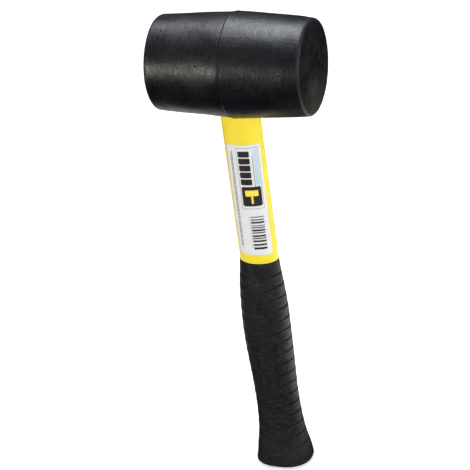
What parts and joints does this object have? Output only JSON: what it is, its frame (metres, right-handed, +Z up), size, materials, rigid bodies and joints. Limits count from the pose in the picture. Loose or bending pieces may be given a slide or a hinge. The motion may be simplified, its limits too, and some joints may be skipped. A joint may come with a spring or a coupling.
{
  "type": "rubber mallet",
  "caption": "Black rubber mallet with a barrel-shaped head on a yellow jacketed fibreglass handle with a ribbed black grip.",
  "frame": {"origin": "plane of the butt's flat underside, midway between the two striking faces, which is the bottom centre of the bounding box", "axes": "+Z up the handle to the head, +X along the head, +Y towards the back of the handle, whose front carries the label"},
  "size_m": [0.1012, 0.0674, 0.3227],
  "materials": {
    "head_rubber": "moulded, semi-matt",
    "bond_epoxy": "cured adhesive",
    "jacket_plastic": "smooth, satin gloss",
    "core_fibreglass": "pultruded, dry",
    "grip_rubber": "matt, ribbed",
    "label_film": "coated, slightly glossy"
  },
  "bodies": {
    "root": {"rubber_head": "head_rubber", "eye_adhesive": "bond_epoxy", "handle_jacket": "jacket_plastic", "fibreglass_core": "core_fibreglass", "grip_sleeve": "grip_rubber", "label": "label_film"}
  },
  "joints": []
}
